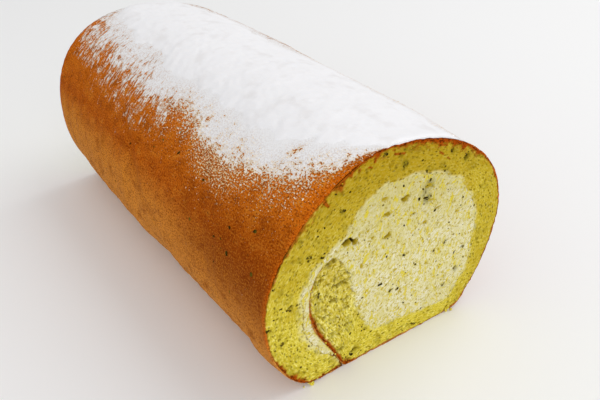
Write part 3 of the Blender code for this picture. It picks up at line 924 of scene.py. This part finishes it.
def creamCut(spots, seed, side):
    y, z = spots.T
    relief, holeShade, place = creamRelief(y, z, seed, creamHoles if side > 0 else ())
    points = np.column_stack([y, z, np.zeros(len(y))])
    edge = smoothStep(1.0, 0.0, place["creamEdge"]) * smoothStep(0.0, 0.6, unevenness(points, 1.6, seed, 2))
    # brown crumbs of the tongue's skin cling along the thin end of the cream
    lapTurn = place["turn"] + 360
    toSkin = place["radius"] - sheetRadii(lapTurn, rollEnd)[0]
    specks = smoothStep(0.0, 0.5, unevenness(points, (0.9, 1.2, 1.0), seed + 12, 2))
    char = smoothStep(1.1, 0.2, toSkin) * smoothStep(-0.3, 0.0, toSkin) * specks
    char *= smoothStep(360, 366, lapTurn) * smoothStep(398, 388, lapTurn)
    stain = stains(y, z, side, seed + 50, 0.0)
    # the painted highlight follows the same share as the raised edge's relief
    ridgeHighlight = ridgeShare(place, y, z)
    marks = {"holeShade": holeShade, "edge": edge * 0.6 * (1 - ridgeHighlight), "ridgeHighlight": 0.8 * ridgeHighlight, "stain": stain, "char": char}
    return relief, marks


def addSpongeCrumb(material):
    points, faces, marks = logWithCutFaces(spongeOutline, spongeInside, spongeCut, 8)
    piece = makeMesh("sponge_crumb", points, faces, material, marks=marks)
    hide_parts("sponge_sheet")
    return piece


def addWhippedCream(material):
    points, faces, marks = logWithCutFaces(creamOutline, creamInside, creamCut, 8)
    piece = makeMesh("whipped_cream", points, faces, material, marks=marks)
    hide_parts("cream_filling")
    return piece


skinShape = {
    "thickness": 0.5,
    "columnStep": 1.35,  # mm round the roll
    "rowStep": 0.95,  # mm along it
    "wave": 0.35,
    "wrinkle": 0.22,
    "pit": 0.07,
}

sugarShape = {
    # the lower edge of the sugar on each side, as (mm along the roll, degrees up from the right)
    "leftEdge": (
        (-80, 121), (-69, 124), (-58, 126), (-43, 128), (-33, 128), (-20, 131), (-3, 131), (9, 129),
        (17, 130), (30, 132), (41, 132), (52, 129), (58, 124), (66, 120), (72, 115), (76, 110), (80, 103),
    ),
    "rightEdge": ((-80, 44), (-50, 37), (-15, 40), (20, 33), (50, 37), (80, 31)),
    "thickness": 0.75,
    "step": 0.62,
}


def arcOf(turn):
    return turn * 0.80  # mm round the roll for a degree of turn, near enough for patterns


def creaseShare(x, angle, beside=0.0, halfWidth=2.4):
    # one soft crease where the sheet buckled as it was rolled, low on the left side
    line = -21 + (angle - 149) * 0.76 + beside
    return np.exp(-(((x - line) / halfWidth) ** 2)) * smoothStep(143, 152, angle) * smoothStep(204, 188, angle)


def skinRelief(turn, x):
    shape = skinShape
    around = arcOf(turn)
    points = np.column_stack([x, around, np.zeros(len(x))])
    angle = np.mod(rollShape["seamAngle"] - turn, 360.0)
    low = smoothStep(158, 176, angle) * smoothStep(232, 212, angle)
    low = np.maximum(low, smoothStep(20, 5, angle) + smoothStep(325, 345, angle))
    relief = shape["wave"] * unevenness(points, 26.0, 201)
    relief += shape["wrinkle"] * (0.25 + low) * unevenness(points, (3.6, 26.0, 1.0), 202, 2)
    relief += shape["pit"] * unevenness(points, 1.9, 203)
    relief += 0.35 * creaseShare(x, angle, 5.5, 3.0) - 0.4 * creaseShare(x, angle)
    dent = np.exp(-(((x + 9) / 9) ** 2) - ((angle - 203) / 13) ** 2)
    relief += 0.9 * dent - 0.7 * np.exp(-(((x - 6) / 7) ** 2) - ((angle - 203) / 13) ** 2)
    resting = smoothStep(219, 232, angle) * smoothStep(322, 308, angle)
    nearEnd = smoothStep(0.0, 7.0, rollEnd - np.abs(x))
    onOutside = smoothStep(345, 338, turn)
    return relief * (1 - resting) * (0.25 + 0.75 * nearEnd) * onOutside, low


def sugarInside(turn, x):
    # how many mm each place lies inside the sugar's edge, negative outside it
    angle = rollShape["seamAngle"] - turn
    left = smoothThrough(sugarShape["leftEdge"], x) - angle
    right = angle - smoothThrough(sugarShape["rightEdge"], x)
    points = np.column_stack([x, arcOf(turn), np.zeros(len(x))])
    ragged = 2.2 * unevenness(points, (9.0, 12.0, 1.0), 301, 2)
    ragged += 0.6 * unevenness(points, (2.4, 6.0, 1.0), 302, 2)
    inside = np.minimum(left, right) * 0.80 + ragged
    inside = inside - 9.0 * smoothStep(75.5, 79.5, x) * smoothStep(84, 96, angle)
    inside = inside - 9.0 * smoothStep(-73.0, -79.0, x) * smoothStep(92, 106, angle)
    # places where the skin shows through: along, degrees, half length, half width, lean
    for px, pAngle, halfLong, halfWide, lean in (
        (60, 112, 4.6, 1.5, 104), (75, 102, 3.0, 1.0, 80), (-74, 118, 5.0, 1.6, 10), (20, 124, 2.4, 0.8, 100),
    ):
        u, v = x - px, (angle - pAngle) * 0.80
        c, s = math.cos(math.radians(lean)), math.sin(math.radians(lean))
        gap = ((u * c + v * s) / halfLong) ** 2 + ((v * c - u * s) / halfWide) ** 2
        inside = inside - 17 * np.exp(-gap) * (0.8 + 0.2 * ragged)
    return inside


def sugarHeight(turn, x):
    inside = sugarInside(turn, x)
    points = np.column_stack([x, arcOf(turn), np.zeros(len(x))])
    full = smoothStep(11.0, 21.0, inside)
    height = sugarShape["thickness"] * full
    height += 0.09 * full * unevenness(points, 7.0, 311, 3) + 0.03 * full * unevenness(points, 1.8, 312)
    height += 0.10 * full * smoothStep(26, 9, inside) * unevenness(points, 1.4, 314, 2)
    lumpy = inside + 1.6 * unevenness(points, (1.6, 3.0, 1.0), 313, 2)
    return height - 0.22 * smoothStep(14.0, 11.5, lumpy), inside


def shell(columns, rows, outerAt, innerAt):
    # a closed sheet: an outer and an inner grid, joined all round
    turn, x = (grid.ravel() for grid in np.meshgrid(columns, rows, indexing="ij"))
    points = np.vstack([outerAt(turn, x), innerAt(turn, x)])
    nc, nr = len(columns), len(rows)
    half = nc * nr
    grid = np.arange(half).reshape(nc, nr)
    a, b, c, d = grid[:-1, :-1], grid[:-1, 1:], grid[1:, 1:], grid[1:, :-1]
    outer = np.stack([a, b, c, d], axis=-1).reshape(-1, 4)
    inner = np.stack([a, d, c, b], axis=-1).reshape(-1, 4) + half
    rim = np.concatenate([grid[:, 0], grid[-1, 1:], grid[-2::-1, -1], grid[0, -2:0:-1]])
    following = np.roll(rim, -1)
    sides = np.stack([rim, following, following + half, rim + half], axis=-1)
    return turn, x, points, np.vstack([outer, inner, sides]).tolist()


def addBakedSkin(material):
    shape = skinShape
    columns = np.arange(0.0, rollShape["innerEnd"] - 4, shape["columnStep"] / 0.80)
    rows = np.linspace(-rollEnd, rollEnd, int(2 * rollEnd / shape["rowStep"]))

    def ragged(turn, x):
        # the cut edge of the skin is torn a little
        atEnd = smoothStep(1.2, 0.0, rollEnd - np.abs(x))
        return x + np.sign(x) * atEnd * (0.14 * wander(turn, 1.6, 221) - 0.1)

    def outerAt(turn, x):
        y, z = crossPoint(endReach(turn), sheetRadii(turn, x)[0] + skinRelief(turn, x)[0])
        return np.column_stack([ragged(turn, x), y, z])

    def innerAt(turn, x):
        radius = sheetRadii(turn, x)[0] - shape["thickness"] + skinRelief(turn, x)[0]
        y, z = crossPoint(endReach(turn), radius)
        return np.column_stack([ragged(turn, x) - np.sign(x) * 0.05, y, z])

    turn, x, points, faces = shell(columns, rows, outerAt, innerAt)
    low = skinRelief(turn, x)[1]
    inside = sugarInside(turn, x)
    onOutside = smoothStep(345, 338, turn)
    onSheet = np.column_stack([x, arcOf(turn), np.zeros(len(x))])
    streaky = smoothStep(22, -20, x)
    sharpEdge = np.interp(inside, (-26, -13, -6, -3, 0, 3, 9, 15), (-0.5, -0.12, 0.06, 0.28, 0.62, 0.84, 1.02, 1.5))
    softEdge = np.interp(inside, (-26, -16, -8, 0, 8, 13, 17), (-0.35, 0.12, 0.34, 0.60, 0.93, 1.1, 1.5))
    dust = (sharpEdge + streaky * (softEdge - sharpEdge)) * onOutside - (1 - onOutside)
    dust = dust + 0.18 * unevenness(onSheet, (4.0, 8.0, 1.0), 331, 3)
    angle = np.mod(rollShape["seamAngle"] - turn, 360.0)
    reach = 7.0 + 10.0 * smoothStep(-10, 50, x) + 5.0 * smoothStep(-40, -70, x)
    grains = (0.46 + 0.36 * smoothStep(-15, 15, x)) * np.exp(np.minimum(inside, 0.0) / reach)
    grains = grains + 0.28 * np.exp(-(((x - 34) / 14) ** 2) - ((angle - 147) / 8) ** 2)
    grains = grains * onOutside * smoothStep(164, 142, angle)
    # painted shade: darker low on the left side of the shown half, along the crease and in one spot near the shown
    # end
    skinPaintedShade = smoothStep(15, 60, x) * np.exp(-(((angle - 172) / 20) ** 2))
    skinPaintedShade = np.maximum(skinPaintedShade, 0.55 * smoothStep(50, 72, x) * np.exp(-(((angle - 150) / 9) ** 2)))
    skinPaintedShade = np.maximum(skinPaintedShade, 0.3 * creaseShare(x, angle, 0.0, 3.5))
    skinPaintedShade = np.maximum(skinPaintedShade, 0.7 * np.exp(-(((x - 31) / 4) ** 2) - ((angle - 162) / 8) ** 2))
    rim = smoothStep(2.0, 0.1, rollEnd - np.abs(x)) * smoothStep(210, 190, angle)
    rim = rim * (0.75 + 0.5 * unevenness(onSheet, (1.2, 3.0, 1.0), 341, 2))
    marks = {
        "rim": np.tile(rim, 2),
        "wrapped": np.tile(np.column_stack([x, arcOf(turn), np.zeros(len(x))]), (2, 1)),
        "around": np.tile(np.minimum(turn, 360.0) / 360.0, 2),
        "low": np.tile(low * smoothStep(46, 14, x), 2),
        "dust": np.concatenate([dust, np.full(len(dust), -1.0)]),
        "grains": np.concatenate([grains, np.zeros(len(grains))]),
        "skinPaintedShade": np.tile(skinPaintedShade, 2),
        "streaky": np.tile(streaky, 2),
    }
    piece = makeMesh("baked_skin", points, faces, material, marks=marks)
    return piece


def addIcingSugar(material):
    shape = sugarShape
    columns = np.arange(100.0, 232.0, shape["step"] / 0.80)
    sugarEnd = rollEnd - 0.4  # short of the torn edge of the skin
    rows = np.linspace(-sugarEnd, sugarEnd, int(2 * rollEnd / shape["step"]))

    def lifted(turn, x, by):
        y, z = crossPoint(turn, sheetRadii(turn, x)[0] + skinRelief(turn, x)[0] + by)
        return np.column_stack([x, y, z])

    def outerAt(turn, x):
        atEnd = smoothStep(0.0, 1.6, rollEnd - np.abs(x))
        height = sugarHeight(turn, x)[0]
        return lifted(turn, x, height * (0.35 + 0.65 * atEnd))

    def innerAt(turn, x):
        return lifted(turn, x, np.full(len(x), -0.32))

    turn, x, points, faces = shell(columns, rows, outerAt, innerAt)
    piece = makeMesh("icing_sugar", points, faces, material)
    return piece


def blobs(name, centres, outward, sizes, flatness, material, seed, jitter=0.22):
    # many small uneven lumps as one mesh, each with a size and lying flat on its surface
    golden = (1 + math.sqrt(5)) / 2
    corners = np.array([
        (-1, golden, 0), (1, golden, 0), (-1, -golden, 0), (1, -golden, 0), (0, -1, golden), (0, 1, golden),
        (0, -1, -golden), (0, 1, -golden), (golden, 0, -1), (golden, 0, 1), (-golden, 0, -1), (-golden, 0, 1),
    ]) / math.hypot(1, golden)
    sides = np.array([
        (0, 11, 5), (0, 5, 1), (0, 1, 7), (0, 7, 10), (0, 10, 11), (1, 5, 9), (5, 11, 4), (11, 10, 2),
        (10, 7, 6), (7, 1, 8), (3, 9, 4), (3, 4, 2), (3, 2, 6), (3, 6, 8), (3, 8, 9), (4, 9, 5),
        (2, 4, 11), (6, 2, 10), (8, 6, 7), (9, 8, 1),
    ])
    chance = np.random.default_rng(seed)
    count = len(centres)
    helper = np.where(np.abs(outward[:, :1]) > 0.8, [[0.0, 0.0, 1.0]], [[1.0, 0.0, 0.0]])
    first = np.cross(outward, helper)
    first /= np.linalg.norm(first, axis=1)[:, None]
    second = np.cross(outward, first)
    spin = chance.uniform(0, math.tau, count)[:, None]
    u = first * np.cos(spin) + second * np.sin(spin)
    v = second * np.cos(spin) - first * np.sin(spin)
    wide = sizes * chance.uniform(0.75, 1.5, count)
    long = sizes * chance.uniform(0.6, 1.0, count)
    high = sizes * flatness
    local = corners[None] * (1 + chance.uniform(-jitter, jitter, (count, 12, 1)))
    points = (
        centres[:, None]
        + local[..., :1] * (u * wide[:, None] / 2)[:, None]
        + local[..., 1:2] * (v * long[:, None] / 2)[:, None]
        + local[..., 2:] * (outward * high[:, None] / 2)[:, None]
    ).reshape(-1, 3)
    faces = (sides[None] + 12 * np.arange(count)[:, None, None]).reshape(-1, 3).tolist()
    marks = {"along": points[:, 1], "across": points[:, 2]}
    return makeMesh(name, points, faces, material, smooth=False, marks=marks)


def onSkin(turn, x, lift):
    y, z = crossPoint(turn, sheetRadii(turn, x)[0] + skinRelief(turn, x)[0] + lift)
    angle = np.radians(rollShape["seamAngle"] - turn)
    return np.column_stack([x, y, z]), np.column_stack([np.zeros(len(x)), np.cos(angle), np.sin(angle)])


def onCut(y, z, side, lift):
    flat = np.column_stack([y, z])
    place = sheetPlace(y, z, side * rollEnd)
    seed = 40 if side > 0 else 70
    sponge = spongeCut(flat, seed, side)[0]
    cream = creamCut(flat, seed, side)[0]
    relief = np.where(place["inCream"], cream, sponge)
    return np.column_stack([side * (rollEnd + relief + lift), y, z]), place


teaBits = {
    "perFace": 160,
    "smallest": 0.3,
    "largest": 1.1,
    "onSkin": 34,
    # larger bits on the skin's left side: mm along, degrees up from the right, size
    "placed": (
        (-12, 161, 1.5), (6, 147, 1.0), (17, 147, 1.3), (3, 153, 0.9), (58, 168, 1.6), (66, 151, 1.4),
        (56, 157, 1.2), (71, 167, 1.8), (50, 166, 0.9), (36, 168, 1.1), (52, 177, 0.9), (35, 149, 1.1),
    ),
}


def addTeaBits(material):
    chance = np.random.default_rng(7)
    centres, outward, sizes = [], [], []
    for side in (1, -1):
        y = chance.uniform(-rollShape["halfWidth"], rollShape["halfWidth"], teaBits["perFace"] * 3)
        z = chance.uniform(0.5, rollShape["height"], len(y))
        size = teaBits["smallest"] + (teaBits["largest"] - teaBits["smallest"]) * chance.random(len(y)) ** 5
        if side > 0:
            for cy, cz, reach, count in teaClumps:
                y = np.append(y, cy + chance.normal(0, reach * 0.6, count))
                z = np.append(z, cz + chance.normal(0, reach * 0.5, count))
                size = np.append(size, chance.uniform(0.4, 1.25, count))
        spots, place = onCut(y, z, side, -0.02)
        angle = np.arctan2(z - rollShape["middleZ"], y - rollShape["middleY"])
        inRoll = place["radius"] < rollRadius(angle, np.full(len(y), side * rollEnd)) - 0.6
        fewerInCream = ~place["inCream"] | (chance.random(len(y)) < 0.35) | (size > 0.7)
        keep = inRoll & fewerInCream & (place["fromSkin"] > 0.5)
        centres.append(spots[keep])
        outward.append(np.tile([float(side), 0.0, 0.0], (keep.sum(), 1)))
        sizes.append(size[keep])
    turn = chance.uniform(2, 345, teaBits["onSkin"])
    x = chance.uniform(-rollEnd + 2, rollEnd - 2, teaBits["onSkin"])
    spots, normals = onSkin(turn, x, 0.0)
    bare = (sugarInside(turn, x) < 0) & (spots[:, 2] > 1.0)
    centres.append(spots[bare])
    outward.append(normals[bare])
    sizes.append(chance.uniform(0.4, 0.95, bare.sum()))
    x, angle, size = np.array(teaBits["placed"]).T
    spots, normals = onSkin(rollShape["seamAngle"] - angle, x, 0.0)
    centres.append(spots)
    outward.append(normals)
    sizes.append(size)
    piece = blobs("tea_flecks", np.vstack(centres), np.vstack(outward), np.concatenate(sizes), 0.28, material, 8)
    return piece


def addSugarGrains(material):
    # loose lumps of sugar round the edge of the drift, thinning out downwards
    chance = np.random.default_rng(21)
    x = chance.uniform(-rollEnd + 0.5, rollEnd - 2.0, 60000)
    turn = chance.uniform(80, 245, len(x))
    inside = sugarInside(turn, x)
    keep = chance.random(len(x)) < 0.16 * smoothStep(-25, 1.0, inside) ** 3 * smoothStep(3, -1, inside)
    turn, x = turn[keep], x[keep]
    sizes = 0.18 + 0.45 * chance.random(len(x)) ** 4
    spots, normals = onSkin(turn, x, 0.04)
    piece = blobs("sugar_grains", spots, normals, sizes, 0.7, material, 22, jitter=0.3)
    print("sugar grains:", len(x))
    return piece


def addLooseCrumbs(material):
    chance = np.random.default_rng(33)
    y = chance.uniform(-rollShape["halfWidth"], rollShape["halfWidth"], 1500)
    z = chance.uniform(0.8, rollShape["height"], len(y))
    centres, outward, sizes = [], [], []
    for side in (1, -1):
        spots, place = onCut(y, z, side, 0.05)
        angle = np.arctan2(z - rollShape["middleZ"], y - rollShape["middleY"])
        inRoll = place["radius"] < rollRadius(angle, np.full(len(y), side * rollEnd)) - 0.8
        keep = inRoll & (chance.random(len(y)) < 0.45)
        centres.append(spots[keep])
        outward.append(np.tile([float(side), 0.0, 0.0], (keep.sum(), 1)))
        sizes.append(0.3 + 0.6 * chance.random(keep.sum()) ** 3)
    # crumbs hanging from the lower corners of the cut
    for cy, cz, count in ((-31.0, 1.0, 9), (27.0, 1.6, 7)):
        spots = np.column_stack([
            rollEnd + chance.uniform(-0.3, 0.8, count), cy + chance.normal(0, 1.6, count),
            np.maximum(cz + chance.normal(0, 0.7, count), 0.5),
        ])
        centres.append(spots)
        outward.append(np.tile([1.0, 0.0, 0.0], (count, 1)))
        sizes.append(chance.uniform(0.6, 1.5, count))
    piece = blobs(
        "loose_crumbs", np.vstack(centres), np.vstack(outward), np.concatenate(sizes), 0.6, material, 34, jitter=0.3
    )
    return piece


studio = {
    "floorColour": "#f3f3f3",
    "air": 0.66,
    "keyPower": 3.7,
    "keySize": 0.8,
    "keyPlace": (0.05, 0.62, 0.85),
    "fillPower": 3.6,
    "fillPlace": (0.85, -0.45, 0.30),
}

cameraView = {
    "place": (0.2130, -0.1292, 0.1768),
    "azimuth": 54.634,
    "elevation": 33.167,
    "lens": 45.09,
    "sensor": 36.0,
}


def lookAlong(azimuth, elevation):
    az, el = math.radians(azimuth), math.radians(elevation)
    back = Vector((math.sin(az) * math.cos(el), -math.cos(az) * math.cos(el), math.sin(el)))
    right = Vector((math.cos(az), math.sin(az), 0.0))
    up = back.cross(right)
    return Matrix((right, up, back)).transposed().to_4x4()


def addCamera():
    data = bpy.data.cameras.new("shown_end")
    data.lens = cameraView["lens"]
    data.sensor_width = cameraView["sensor"]
    data.clip_start = 0.01
    camera = bpy.data.objects.new("shown_end", data)
    camera.matrix_world = Matrix.Translation(cameraView["place"]) @ lookAlong(
        cameraView["azimuth"], cameraView["elevation"]
    )
    bpy.context.scene.collection.objects.link(camera)
    bpy.context.scene.camera = camera


def addAreaLight(name, power, size, place):
    data = bpy.data.lights.new(name, "AREA")
    data.energy = power
    data.size = size
    light = bpy.data.objects.new(name, data)
    light.location = place
    light.rotation_euler = (-Vector(place)).to_track_quat("-Z", "Y").to_euler()
    bpy.context.scene.collection.objects.link(light)


def addStudio():
    world = bpy.data.worlds.new("studio")
    bpy.context.scene.world = world
    world.use_nodes = True
    air = world.node_tree.nodes["Background"]
    air.inputs["Color"].default_value = (1.0, 1.0, 1.0, 1.0)
    air.inputs["Strength"].default_value = studio["air"]
    addAreaLight("key_light", studio["keyPower"], studio["keySize"], studio["keyPlace"])
    addAreaLight("fill_light", studio["fillPower"], studio["keySize"], studio["fillPlace"])
    mesh = bpy.data.meshes.new("floor")
    reach = 3.0
    corners = [(-reach, -reach, 0), (reach, -reach, 0), (reach, reach, 0), (-reach, reach, 0)]
    mesh.from_pydata(corners, [], [(0, 1, 2, 3)])
    material, tree, shader = newMaterial("paintedBoard")
    shader.inputs["Base Color"].default_value = toLinear(studio["floorColour"])
    shader.inputs["Roughness"].default_value = 0.7
    mesh.materials.append(material)
    floor = bpy.data.objects.new("floor", mesh)
    bpy.context.scene.collection.objects.link(floor)
    bpy.context.scene.view_settings.view_transform = "Standard"


addCamera()
print("camera placed")
spongeCrumb = makeSpongeCrumb()
addSpongeCrumb(spongeCrumb)
print("sponge cut")
addWhippedCream(makeWhippedCream())
print("cream filled")
addBakedSkin(makeBakedSkin())
print("skin baked")
addIcingSugar(makeIcingSugar("sifted"))
addSugarGrains(makeIcingSugar("loose"))
print("sugar sifted")
addTeaBits(makeTeaLeaf())
addLooseCrumbs(spongeCrumb)
print("tea and crumbs scattered")
addStudio()
print("studio lit")

for piece in bpy.context.scene.objects:
    if piece.type == "MESH":
        print(piece.name, sum(len(face.vertices) - 2 for face in piece.data.polygons), "triangles")
